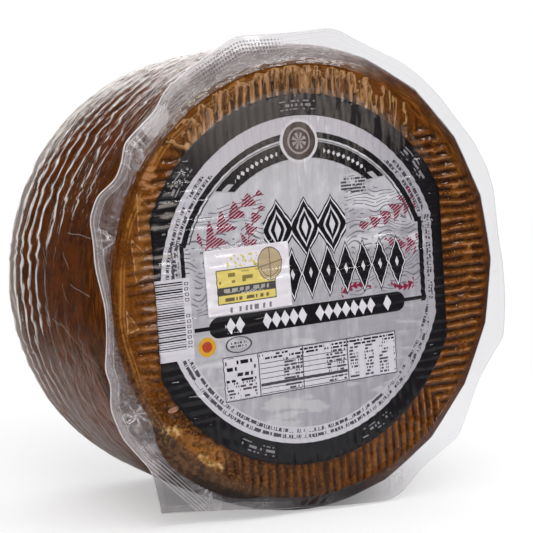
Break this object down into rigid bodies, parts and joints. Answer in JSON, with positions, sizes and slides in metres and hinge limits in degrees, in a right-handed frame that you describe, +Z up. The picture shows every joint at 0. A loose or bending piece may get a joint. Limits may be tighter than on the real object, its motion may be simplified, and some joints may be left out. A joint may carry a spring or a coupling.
{
  "type": "whole manchego cheese wheel in clear vacuum film",
  "caption": "Whole pressed sheep's milk cheese wheel standing on its rim, with ridged faces, a round label and sticker on one face, sealed in clear vacuum film with a standing rim.",
  "frame": {"origin": "middle of the whole part's box in X and Y, at the height of the surface it stands on", "axes": "+Z up, +Y from the labelled face to the plain face, along the wheel's axis; +X to the right of someone who looks at the labelled face"},
  "size_m": [0.201, 0.1028, 0.1995],
  "materials": {
    "rind": "waxed brown cheese rind under tight clear film, glossy",
    "label_print": null,
    "sticker_paper": "white paper with a yellow panel and a beige disc",
    "clear_film": "clear wrinkled vacuum film with knurled seal lines"
  },
  "bodies": {
    "root": {"cheese_wheel": "rind", "face_label": "label_print", "paper_sticker": "sticker_paper", "film_rim": "clear_film"}
  },
  "joints": []
}
